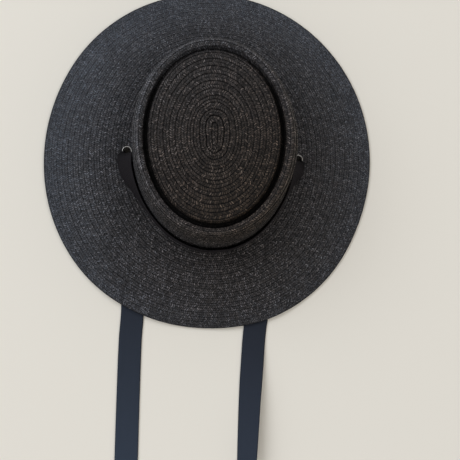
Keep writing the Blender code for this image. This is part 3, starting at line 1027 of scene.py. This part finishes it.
    def fade_and_light(self, points: np.ndarray) -> np.ndarray:
        """Gives sun-fading with painted light: more to the left, at the far end and outside."""
        left = 0.5 - points[:, 0] / self.sizes.head_width * 0.8
        far = 0.5 + points[:, 1] / self.sizes.head_length * 0.8
        ridge, wall = self.ridge_and_wall(points)
        sun_and_light = self.sun_and_light[0] + self.sun_and_light[1] * left + self.sun_and_light[2] * far + self.wall_sun_and_light * wall
        return np.clip(sun_and_light + ridge * (self.ridge_sun_and_light[0] * left + self.ridge_sun_and_light[1] * far), 0.0, 1.0)

    def ridge_and_wall(self, points: np.ndarray) -> tuple[np.ndarray, np.ndarray]:
        """Gives how far each point is on the ridge, and how far low on the wall, both from 0 to 1."""
        s = self.sizes
        around = np.hypot(points[:, 0] / s.half_width, points[:, 1] / s.half_length)
        outer = smooth_step(around, *self.ridge_around)
        high = smooth_step(points[:, 2] - s.brim_top, *self.ridge_height)
        return outer * high, outer * (1 - high)


@dataclass
class Brim:
    """The brim: a wide oval of sewn braid from the head opening to its fine outer rows, with two holes."""

    sizes: HatSizes
    width: float = 0.3400
    length: float = 0.3580
    shift: Pair = (-0.0045, -0.0020)
    tie_lift: float = 0.0007
    lift_beside: Pair = (0.8, 2.3)
    lift_outer: Pair = (0.5, 0.8)
    opening: float = -0.024
    opening_place: float = -0.6
    edge_place: float = -0.04
    shade_reach: float = 0.16
    foot_shade: float = 0.05
    rim_shade: float = 0.60
    rim_columns: Pair = (-0.75, -0.40)
    edge_shade: float = 0.9
    edge_shares: tuple[float, ...] = (0.78, 0.5, 0.22)
    edge_bulge: float = 0.25
    pressed: Pair = (0.5, 0.85)
    main_columns: int = 30
    main_reach: float = 0.918
    edge_columns: int = 4
    edge_relief: float = 0.6
    row_sway: float = 0.10
    strand: float = 0.0020
    segments: int = 256
    hole_steps: int = 48
    # How faded the straw is, which also stands for painted light that makes it lighter and bluer, and how
    # much more on the left, at the far end and at either side
    sun_and_light: tuple[float, ...] = (0.33, 0.18, 0.44, 0.16)
    # The share of that fading at the crown's foot, what the edge has over it, and the left edge's own
    reach_sun_and_light: tuple[float, ...] = (0.62, 0.48, 0.12)
    outside_phases: tuple[float, ...] = (0.0, 0.10, 0.32, 0.58, 0.84)
    inside_phases: tuple[float, ...] = (0.0, 0.3, 0.7)
    inside_relief: Pair = (0.00014, -0.00008)
    relief: RowRelief = RowRelief(lean=0.00010, pair_lean=0.00006, back=0.00010, seam=0.00010)
    outline: tuple[float, ...] = (
        0.9964, 0.9991, 0.9995, 0.9985, 0.9970, 1.0030, 1.0021, 0.9946,
        0.9962, 1.0036, 1.0064, 0.9951, 0.9901, 1.0056, 1.0065, 0.9948,
    )
    # The underside: how far out a ring lies, of the brim's width there, and its height, of the brim's rise
    section: Rows = (
        (0.000, 1.00),
        (0.100, 1.00),
        (0.200, 1.00),
        (0.300, 0.95),
        (0.440, 0.77),
        (0.600, 0.45),
        (0.740, 0.18),
        (0.840, 0.04),
        (0.900, 0.00),
        (0.950, 0.00),
        (1.000, 0.00),
    )

    def out_at(self, place: float) -> float:
        """Gives how far out a place in the rows lies, from 0 at the crown's foot to 1 at the edge."""
        if place <= self.main_columns:
            return self.main_reach * place / self.main_columns
        return self.main_reach + (1 - self.main_reach) * (place - self.main_columns) / self.edge_columns

    def lifts(self, points: np.ndarray, out: np.ndarray) -> np.ndarray:
        """Gives how far the brim's edge is lifted by the ties that pass under it.

        Args:
            points: Points on the brim.
            out: How far out each lies.

        Returns:
            The lift at each point.
        """
        s = self.sizes
        near = np.array([
            min(abs(x - s.tie_x(side, y)) for side in Side) if y < 0 else 1.0 for x, y in points[:, :2]
        ])
        beside = smooth_step(near / s.ribbon_width, *self.lift_beside)
        return (s.ribbon_thickness + self.tie_lift) * (1 - beside) * smooth_step(out, *self.lift_outer)

    def ring(self, place: float) -> np.ndarray:
        """Gives a ring of the brim's underside at a place in the rows."""
        s = self.sizes
        turns = np.arange(self.segments) / self.segments
        way = np.stack([np.cos(turns * math.tau), np.sin(turns * math.tau)], axis=1)
        calm = max(0.0, min(1.0, place / 2, (self.main_columns - place) / 3))
        stray = place + sway(turns, place, self.row_sway) * calm
        total = self.main_columns + self.edge_columns
        out = np.array([self.out_at(p) for p in np.clip(stray, 0.0, total)])
        if place < 0:
            out = np.full(self.segments, self.opening)
        foot = way * (s.half_width, s.half_length)
        edge = way * (self.width / 2, self.length / 2) * reach_at(self.outline, turns)[:, None] + self.shift
        points = np.zeros((self.segments, 3))
        points[:, :2] = foot + (edge - foot) * out[:, None]
        points[:, 2] = s.brim_rise * np.array([along_rows(self.section, 1, o) for o in out])
        points[:, 2] += self.lifts(points, out)
        return points

    def flatness(self, points: np.ndarray) -> np.ndarray:
        """Gives 0 under each eyelet's flange, where the braid is pressed flat, and 1 away from it."""
        flat = np.ones(len(points))
        for centre in map(self.sizes.eyelet_centre, Side):
            away = np.hypot(points[:, 0] - centre.x, points[:, 1] - centre.y)
            flat *= smooth_step(away / self.sizes.eyelet_width, *self.pressed)
        return flat

    def fade_and_light(self, points: np.ndarray, out: float) -> np.ndarray:
        """Gives sun-fading with painted light, which is more towards the edge and to the left.

        Args:
            points: Points on the brim.
            out: How far out they lie, from 0 at the crown's foot to 1 at the edge.

        Returns:
            The fading at each point, from 0 to 1.
        """
        left = 0.5 - points[:, 0] / self.width
        far = 0.5 + points[:, 1] / self.length
        side = np.abs(points[:, 0]) / self.width * 2
        outer = max(0.0, out)
        sun_and_light = self.sun_and_light[0] + self.sun_and_light[1] * left + self.sun_and_light[2] * far + self.sun_and_light[3] * side
        foot, more, edge = self.reach_sun_and_light
        return np.clip(sun_and_light * (foot + more * outer**1.5) + edge * left**2 * outer**4, 0.0, 1.0)

    def build(self, straw: bpy.types.Material, finish: StrawBraid) -> bpy.types.Object:
        """Makes the brim.

        Args:
            straw: Its material.
            finish: The straw's finish, which names the mesh's layers.

        Returns:
            The brim's object.
        """
        s = self.sizes
        total = self.main_columns + self.edge_columns
        shell = BraidShell("straw_brim", self.segments, self.strand)
        first, last = [self.opening_place], [total + self.edge_place]
        places = first + [k + phase for k in range(total) for phase in self.outside_phases] + last
        up = np.array((0.0, 0.0, 1.0))
        for place in places:
            fine = self.edge_relief if place > self.main_columns else 1.0
            lift = self.relief.height(place, 1) * fine if place >= 0 else 0.0
            points = self.ring(place)
            top = points + up * (s.straw + lift * self.flatness(points))[:, None]
            out = self.out_at(place)
            # Painted shade near the crown's foot and on the outermost row
            painted_shade = max(0.0, 1 - max(out, 0.0) / self.shade_reach) * self.foot_shade
            painted_shade += self.rim_shade * float(smooth_step(place - total, *self.rim_columns))
            shell.add_ring(Ring(top, place, Face.OUTSIDE, painted_shade, self.fade_and_light(points, out)))
        # The rounded outer edge, all in painted shade
        edge = self.ring(float(total))
        inward = self.ring(total - self.edge_bulge)
        for share in self.edge_shares:
            bulge = 4 * share * (1 - share)
            rim = edge + (inward - edge) * (1 - bulge) * 0.5 + up * s.straw * share
            shell.add_ring(Ring(rim, float(total) - 0.02, Face.OUTSIDE, self.edge_shade))
        under = [k + phase for k in reversed(range(total)) for phase in reversed(self.inside_phases)]
        for place in last + under + first:
            rib = self.inside_relief[0 if place % 1 > 0.15 else 1] if place >= 0 else 0.0
            points = self.ring(place)
            sink = np.minimum(rib * self.flatness(points), np.maximum(points[:, 2], 0.0))
            shell.add_ring(Ring(points - up * sink[:, None], place, Face.INSIDE))
        shell.bands.append(Band(-1, 0.4, 0.6, shell.bands[0].strands))
        thing = shell.build(straw, finish)
        for side in Side:
            self.cut_hole(thing, side)
        return thing

    def cut_hole(self, thing: bpy.types.Object, side: Side) -> None:
        """Cuts an eyelet's hole through the brim and leaves no modifier behind.

        Args:
            thing: The brim.
            side: The eyelet's side.
        """
        s = self.sizes
        radius = s.eyelet_hole / 2 + s.eyelet_metal + s.gap
        build = bmesh.new()
        bmesh.ops.create_cone(
            build, cap_ends=True, segments=self.hole_steps, radius1=radius, radius2=radius, depth=s.straw * 4
        )
        cutter = from_build("hole", build, smooth=False)
        cutter.location = s.eyelet_centre(side) - Vector((0.0, 0.0, s.straw / 2))
        hole = thing.modifiers.new("hole", "BOOLEAN")
        hole.operation = "DIFFERENCE"
        hole.solver = "EXACT"
        hole.object = cutter
        bpy.context.view_layer.update()
        graph = bpy.context.evaluated_depsgraph_get()
        cut = bpy.data.meshes.new_from_object(thing.evaluated_get(graph))
        thing.modifiers.clear()
        left_over = (thing.data, cutter.data)
        thing.data = cut
        bpy.data.objects.remove(cutter)
        for mesh in left_over:
            bpy.data.meshes.remove(mesh)


@dataclass
class Eyelet:
    """A metal eyelet: a barrel through the brim with a rolled flange over it and a clenched one under it."""

    sizes: HatSizes
    side: Side
    steps: int = 64
    roll_steps: int = 10
    roll_square: float = 0.8
    lip: float = 0.00005

    def profile(self) -> list[tuple[float, float]]:
        """Gives the eyelet's section as radius and height over the brim's top, as one closed line."""
        s = self.sizes
        hole = s.eyelet_hole / 2
        edge = s.eyelet_width / 2
        barrel = hole + s.eyelet_metal
        middle, half = (hole + edge) / 2, (edge - hole) / 2
        top = s.gap + s.eyelet_metal
        low = -s.straw - s.gap
        points = []
        for i in range(self.roll_steps + 1):
            angle = math.pi * i / self.roll_steps
            points.append((middle + half * math.cos(angle), top * math.sin(angle) ** self.roll_square))
        for i in range(1, self.roll_steps):
            angle = math.pi * (1 + i / self.roll_steps)
            points.append((middle + half * math.cos(angle), low + s.eyelet_metal * math.sin(angle)))
        return points + [(edge, low), (barrel, low), (barrel, self.lip)]

    def build(self, metal: bpy.types.Material) -> bpy.types.Object:
        """Makes the eyelet.

        Args:
            metal: Its material.

        Returns:
            The eyelet's object.
        """
        outline = self.profile()
        centre = self.sizes.eyelet_centre(self.side)
        build = bmesh.new()
        rings = []
        for i in range(self.steps):
            angle = math.tau * i / self.steps
            way = Vector((math.cos(angle), math.sin(angle), 0.0))
            rings.append([build.verts.new(centre + way * r + Vector((0.0, 0.0, z))) for r, z in outline])
        for ring, after in zip(rings, rings[1:] + rings[:1]):
            for i in range(len(outline)):
                j = (i + 1) % len(outline)
                build.faces.new((ring[i], after[i], after[j], ring[j]))
        bmesh.ops.recalc_face_normals(build, faces=build.faces)
        thing = from_build(f"{self.side.word}_eyelet", build)
        thing.data.materials.append(metal)
        return thing


@dataclass
class Station:
    """One place that the ribbon passes: where, which way it faces, and how it is curled and gathered."""

    place: Vector
    facing: Vector
    curl: float = 0.0
    gather: float = 0.0


@dataclass
class Ribbon:
    """The ribbon: from the left tie's end, up through its eyelet, round the crown and out on the right."""

    sizes: HatSizes
    curl: float = 190.0
    flattest: float = 0.5
    lying_starts: float = 0.24
    round_starts: float = 0.75
    thickness: float = 0.0006
    thin_edge: float = 0.55
    step: float = 0.0022
    strips: int = 14
    run_length: float = 0.0
    fade_starts: float = 0.34
    right_fade: float = 0.76
    # By an eyelet: across and along in ribbon widths, height of the brim's rise under it and in ribbon
    # widths over it, turn and lean in degrees, and curl and gather from 0 to 1
    under_eyelet: Rows = (
        # across, along, height, turn, lean, curl, gather
        (0.00, -2.300, 0.120, -90.0, 0.0, 0.13, 0.08),
        (0.00, -1.200, 0.240, -90.0, 0.0, 0.42, 0.30),
        (0.00, -0.550, 0.360, -85.0, 0.0, 0.74, 0.65),
        (0.00, -0.270, 0.500, -62.0, 0.0, 0.92, 0.95),
        (0.00, -0.100, 0.720, -30.0, 0.0, 1.00, 1.00),
        (0.00, -0.067, 0.950, 0.0, 0.0, 1.00, 1.00),
    )
    over_eyelet: tuple[Rows, Rows] = (
        (
            # across, along, height, turn, lean, curl, gather
            (0.00, -0.067, 0.020, 0.0, 0.0, 1.00, 1.00),
            (0.00, -0.070, 0.090, 10.0, 3.0, 0.88, 0.97),
            (0.065, -0.105, 0.175, 35.0, 11.0, 0.42, 0.80),
            (0.105, -0.190, 0.250, 58.0, 22.0, 0.08, 0.55),
            (0.095, -0.310, 0.325, 72.0, 34.0, 0.02, 0.28),
            (0.09, -0.450, 0.400, 82.0, 46.0, 0.00, 0.05),
        ),
        (
            # across, along, height, turn, lean, curl, gather
            (0.00, -0.067, 0.020, 0.0, 0.0, 1.00, 1.00),
            (0.00, -0.072, 0.110, 12.0, 10.0, 0.85, 0.96),
            (0.025, -0.110, 0.220, 35.0, 30.0, 0.42, 0.78),
            (0.025, -0.190, 0.320, 58.0, 45.0, 0.10, 0.52),
            (0.00, -0.330, 0.400, 74.0, 56.0, 0.03, 0.20),
            (-0.025, -0.550, 0.460, 86.0, 60.0, 0.00, 0.00),
        ),
    )
    round_crown: Rows = (
        # share of the way from the left end of the run to the right one, how far its lower edge stands out
        (0.00, 0.60),
        (0.04, 0.45),
        (0.08, 0.25),
        (0.125, 0.12),
        (0.17, 0.04),
        (0.21, 0.01),
        (0.25, 0.00),
        (0.30, -0.02),
        (0.36, -0.035),
        (0.43, -0.045),
        (0.50, -0.05),
        (0.57, -0.05),
        (0.64, -0.045),
        (0.70, -0.035),
        (0.76, -0.02),
        (0.80, 0.00),
        (0.84, 0.01),
        (0.90, 0.03),
        (0.95, 0.12),
        (1.00, 0.36),
    )

    def eyelet_rows(self, side: Side, table: Rows, level: float, unit: float) -> list[Station]:
        """Gives the ribbon's stations near an eyelet.

        Args:
            side: The eyelet's side.
            table: Where the stations lie.
            level: The height that the table's heights start from.
            unit: What the table's heights are shares of.

        Returns:
            The stations, from the table's first row to its last.
        """
        s = self.sizes
        stations = []
        centre = s.eyelet_centre(side)
        for across, along, height, turn, lean, curl, gather in table:
            y = centre.y + along * s.ribbon_width
            x = centre.x if level else s.tie_x(side, y)
            place = Vector((x + side.value * across * s.ribbon_width, y, level + height * unit))
            angle, tip = math.radians(turn), math.radians(lean)
            upright = Vector((0.0, math.cos(angle), math.sin(angle)))
            facing = upright * math.cos(tip) + Vector((side.value * math.sin(tip), 0.0, 0.0))
            stations.append(Station(place, facing, curl, gather))
        return stations

    def tie_rows(self, side: Side) -> list[Station]:
        """Gives the stations of a tie where it lies on the surface, from the brim outwards."""
        s = self.sizes
        stations = []
        start = s.eyelet_centre(side).y
        for reach, _, roll in side.pick(s.ties):
            if reach < self.lying_starts:
                continue
            y = start + reach * (s.tie_end - start)
            tip = math.radians(roll)
            height = s.ribbon_thickness / 2 * math.cos(tip) + s.ribbon_width / 2 * math.sin(tip)
            facing = Vector((side.value * math.sin(tip), 0.0, -math.cos(tip)))
            stations.append(Station(Vector((s.tie_x(side, y), y, height)), facing))
        return stations

    def round_rows(self) -> list[Station]:
        """Gives the stations of the ribbon round the near side of the crown, from left to right."""
        s = self.sizes
        ends = []
        for side in Side:
            y = s.eyelet_centre(side).y - self.round_starts * s.ribbon_width
            ends.append(270 + side.value * math.degrees(math.acos(-y / s.half_length)))
        stations = []
        for share, foot in self.round_crown:
            angle = math.radians(ends[0] + (ends[1] - ends[0]) * share)
            rise = math.sqrt(1 - foot**2)
            wall = Vector((s.half_width * math.cos(angle), s.half_length * math.sin(angle), 0.0))
            outward = Vector((wall.x / s.half_width**2, wall.y / s.half_length**2, 0.0)).normalized()
            away = s.ribbon_clearance + (s.ribbon_width * abs(foot) + s.ribbon_thickness * rise) / 2
            height = s.ribbon_clearance + (s.ribbon_width * rise + s.ribbon_thickness * abs(foot)) / 2
            place = wall + outward * away
            place.z = s.brim_top + height
            stations.append(Station(place, outward * rise + Vector((0.0, 0.0, foot))))
        return stations

    def stations(self) -> list[Station]:
        """Gives all of the ribbon's stations, from the left tie's end to the right tie's end."""
        s = self.sizes
        sides = []
        for side in Side:
            under = self.eyelet_rows(side, self.under_eyelet, 0.0, s.brim_rise)
            over = self.eyelet_rows(side, side.pick(self.over_eyelet), s.brim_top, s.ribbon_width)
            sides.append(self.tie_rows(side)[::-1] + under + over)
        return sides[0] + self.round_rows() + sides[1][::-1]

    def ring(self, station: Station, forward: Vector) -> list[Vector]:
        """Gives the ring of points round the ribbon at one place.

        Args:
            station: The place.
            forward: The way that the ribbon runs there.

        Returns:
            The points, first those on the side that faces out.
        """
        s = self.sizes
        across = station.facing.cross(forward).normalized()
        facing = forward.cross(across).normalized()
        squeezed = (s.eyelet_hole / 2 - s.ribbon_clearance - s.ribbon_thickness / 2) * math.radians(self.curl)
        width = s.ribbon_width + (squeezed - s.ribbon_width) * station.gather
        angle = math.radians(max(self.curl * station.curl, self.flattest))
        radius = width / angle
        middle = radius * (1 + math.cos(angle / 2)) / 2
        faces: tuple[list, list] = ([], [])
        for i in range(self.strips + 1):
            turn = angle * (i / self.strips - 0.5)
            thin = self.thin_edge if i in (0, self.strips) else 1.0
            for points, side in zip(faces, (-1, 1)):
                size = radius + side * self.thickness / 2 * thin
                aside = across * (size * math.sin(turn)) + facing * (middle - size * math.cos(turn))
                points.append(station.place + aside)
        return faces[0] + faces[1][::-1]

    def fade_and_light(self, reach: float) -> float:
        """Gives the ribbon's sun-fading with painted light, from 0 at its middle to the most at its ends."""
        away = reach / (self.run_length / 2) - 1
        most = 1.0 if away < 0 else self.right_fade
        return most * min(1.0, max(0.0, (abs(away) - self.fade_starts) / (1 - self.fade_starts)))

    def build(self, cloth: bpy.types.Material, finish: RibbonCloth) -> bpy.types.Object:
        """Makes the ribbon.

        Args:
            cloth: Its material.
            finish: The cloth's finish, which names the mesh's layers.

        Returns:
            The ribbon's object.
        """
        stations = self.stations()
        run = lengths([station.place for station in stations])
        rows = [(r, *s.place, *s.facing, s.curl, s.gather) for r, s in zip(run, stations)]
        marks = []
        for before, after in zip(run, run[1:]):
            steps = max(1, round((after - before) / self.step))
            marks += [before + (after - before) * i / steps for i in range(steps)]
        marks.append(run[-1])
        places = [Vector(along_rows(rows, column, mark) for column in (1, 2, 3)) for mark in marks]
        reach = lengths(places)
        self.run_length = reach[-1]
        build = bmesh.new()
        uv, wear = (build.loops.layers.uv.new(name) for name in (finish.layer, finish.wear_layer))
        rings, gathers = [], []
        for i, mark in enumerate(marks):
            forward = places[min(i + 1, len(places) - 1)] - places[max(i - 1, 0)]
            facing = Vector(along_rows(rows, column, mark) for column in (4, 5, 6))
            curl, gather = (along_rows(rows, column, mark) for column in (7, 8))
            gathers.append(gather)
            ring = self.ring(Station(places[i], facing, curl, gather), forward.normalized())
            rings.append([build.verts.new(point) for point in ring])
        n = len(rings[0])
        across = [min(i, n - 1 - i) / self.strips * self.sizes.ribbon_width / MM for i in range(n)]
        for k, (low, high) in enumerate(zip(rings, rings[1:])):
            for i in range(n):
                j = (i + 1) % n
                face = build.faces.new((low[i], low[j], high[j], high[i]))
                spots = ((i, k), (j, k), (j, k + 1), (i, k + 1))
                for loop, (column, ring) in zip(face.loops, spots):
                    loop[uv].uv = (across[column], reach[ring] / MM)
                    # Gathering, which also sets painted shade, and fading, which also stands for painted
                    # light
                    loop[wear].uv = (gathers[ring], self.fade_and_light(reach[ring]))
        for end in (0, -1):
            for loop, column in zip(build.faces.new(rings[end]).loops, range(n)):
                loop[uv].uv = (across[column], reach[end] / MM)
                loop[wear].uv = (0.0, 1.0)
        bmesh.ops.recalc_face_normals(build, faces=build.faces)
        thing = from_build("ribbon_ties", build)
        thing.data.materials.append(cloth)
        return thing


def lengths(places: Sequence[Vector]) -> list[float]:
    """Gives how far along a line of places each one is."""
    run = [0.0]
    for before, after in zip(places, places[1:]):
        run.append(run[-1] + (after - before).length)
    return run


@dataclass
class Studio:
    """The plain pale floor, the soft light and the camera."""

    floor_colour: Colour = (0.765, 0.734, 0.655)
    floor_size: float = 6.0
    floor_drop: float = 0.0004
    warm_sky: Colour = (1.0, 0.952, 0.883)
    cool_sky: Colour = (0.97, 1.0, 1.08)
    dim_sky: Colour = (0.10, 0.085, 0.075)
    cool_way: Place = (-1.0, 0.7, 0.3)
    dim_way: Place = (0.02, 0.12, 1.0)
    dim_reach: Pair = (0.12, 0.75)
    low_reach: Pair = (0.05, 0.60)
    low_share: float = 0.40
    sky_strength: float = 1.150
    window_place: Place = (-2.3, 1.4, 2.5)
    window_size: float = 2.6
    window_power: float = 43.0
    window_colour: Colour = (0.91, 0.955, 1.015)
    camera_place: Place = (-0.02674, -0.23917, 0.98435)
    camera_right: Place = (0.999, -0.0055, 0.0445)
    camera_up: Place = (-0.0017, 0.9869, 0.1612)
    lens: float = 75.9
    sensor: float = 36.0
    farthest: float = 20.0

    def add_floor(self) -> None:
        """Makes the floor that the hat rests on."""
        build = bmesh.new()
        bmesh.ops.create_grid(build, x_segments=1, y_segments=1, size=self.floor_size / 2)
        floor = from_build("floor", build, smooth=False)
        maker = NodeMaker.of_material("pale_floor")
        floor.data.materials.append(maker.finish((*self.floor_colour, 1.0), 0.9, Specular_IOR_Level=0.2))
        floor.location.z = -self.floor_drop

    def add_light(self) -> None:
        """Makes the soft light all round, dimmer overhead and low down, and the cool window, upper left."""
        world = bpy.data.worlds.new("soft_room")
        maker = NodeMaker(world, "Background")
        way = maker.add("ShaderNodeTexCoord", {}, {}).outputs["Generated"]
        spots = []
        for direction in (self.dim_way, self.cool_way):
            sockets = {0: way, 1: Vector(direction).normalized()}
            node = maker.add("ShaderNodeVectorMath", {"operation": "DOT_PRODUCT"}, sockets)
            spots.append(Field(maker, node.outputs["Value"]))
        bright = 1 - spots[0].ramp(math.cos(self.dim_reach[1]), math.cos(self.dim_reach[0]))
        upward = Field(maker, maker.add("ShaderNodeSeparateXYZ", {}, {0: way}).outputs["Z"])
        bright = bright * (upward.ramp(*self.low_reach) * (1 - self.low_share) + self.low_share)
        colour = maker.blend((spots[1] * 0.5 + 0.5).ramp(0.1, 0.9), self.warm_sky, self.cool_sky)
        maker.feed(maker.shader.inputs["Color"], maker.blend(bright, self.dim_sky, colour))
        maker.feed(maker.shader.inputs["Strength"], self.sky_strength)
        bpy.context.scene.world = world
        light = bpy.data.lights.new("window", "AREA")
        light.size = self.window_size
        light.energy = self.window_power
        light.color = self.window_colour
        window = in_scene("window", light)
        window.location = self.window_place
        window.rotation_euler = (-Vector(self.window_place)).to_track_quat("-Z", "Y").to_euler()

    def add_camera(self) -> None:
        """Makes the camera, above the floor at the photograph's angle to the hat."""
        right = Vector(self.camera_right).normalized()
        up = Vector(self.camera_up)
        up = (up - right * up.dot(right)).normalized()
        turn = Matrix((right, up, right.cross(up))).transposed()
        lens = bpy.data.cameras.new("camera")
        lens.lens = self.lens
        lens.sensor_width = self.sensor
        lens.clip_end = self.farthest
        camera = in_scene("camera", lens)
        camera.matrix_world = Matrix.Translation(self.camera_place) @ turn.to_4x4()
        bpy.context.scene.camera = camera

    def build(self) -> None:
        """Sets the stage."""
        self.add_camera()
        self.add_floor()
        self.add_light()
        bpy.context.scene.view_settings.view_transform = "Standard"


def dress(thing: bpy.types.Object, node: str) -> None:
    """Sets a piece in the place of its node, and logs its name and how many triangles it has.

    Args:
        thing: The piece.
        node: The node that it stands for.
    """
    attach(thing, "root")
    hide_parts(node)
    thing.data.calc_loop_triangles()
    log.info("%s: %d triangles", thing.name, len(thing.data.loop_triangles))


def main() -> None:
    logging.basicConfig(level=logging.INFO, format="%(message)s")
    sizes = HatSizes()
    Studio().build()
    braid = StrawBraid()
    straw = braid.material()
    metal = DarkNickel().material()
    weave = RibbonCloth(sizes.ribbon_width)
    dress(Crown(sizes).build(straw, braid), "crown")
    dress(Brim(sizes).build(straw, braid), "brim")
    for side in Side:
        dress(Eyelet(sizes, side).build(metal), f"eyelet_{side.word}")
    ribbon = Ribbon(sizes)
    cloth = ribbon.build(weave.material(), weave)
    dress(cloth, "ribbon")


if __name__ == "__main__":
    main()
